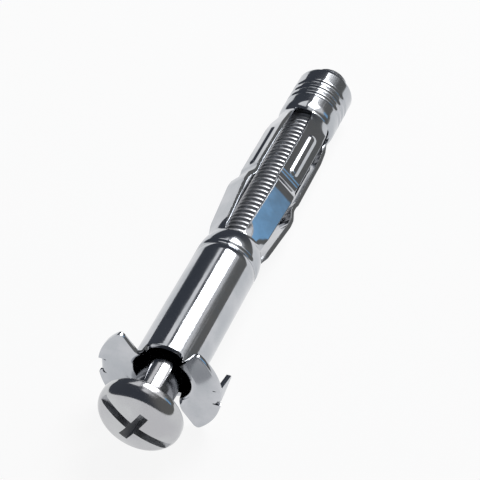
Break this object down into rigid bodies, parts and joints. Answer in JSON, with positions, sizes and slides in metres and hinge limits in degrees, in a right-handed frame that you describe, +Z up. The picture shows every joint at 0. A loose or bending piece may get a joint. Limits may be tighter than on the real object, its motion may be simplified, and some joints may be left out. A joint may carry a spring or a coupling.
{
  "type": "hollow wall anchor",
  "caption": "Steel cavity anchor: a slit tube sleeve with a winged, toothed flange and pre-folded legs, a nut crimped in its nose, and a pan head machine screw through it.",
  "frame": {"origin": "on the surface that the anchor lies on, under the middle of its box", "axes": "+X from the screw head towards the nose, +Y along the wings, +Z up"},
  "size_m": [0.068, 0.0148, 0.0116],
  "materials": {
    "sleeve_plate": "bright blue zinc plate on rolled sheet steel",
    "nut_plate": "bright zinc plate on turned steel",
    "screw_plate": "bright zinc plate on headed and rolled steel"
  },
  "bodies": {
    "sleeve_body": {"sleeve": "sleeve_plate", "nut": "nut_plate"},
    "screw_body": {"screw": "screw_plate"}
  },
  "joints": [
    {"name": "screw_travel", "type": "slide", "parent": "sleeve_body", "child": "screw_body", "axis": [-0.9995, 0, 0.0329], "range_m": [-0.00445, 0.00895]}
  ]
}
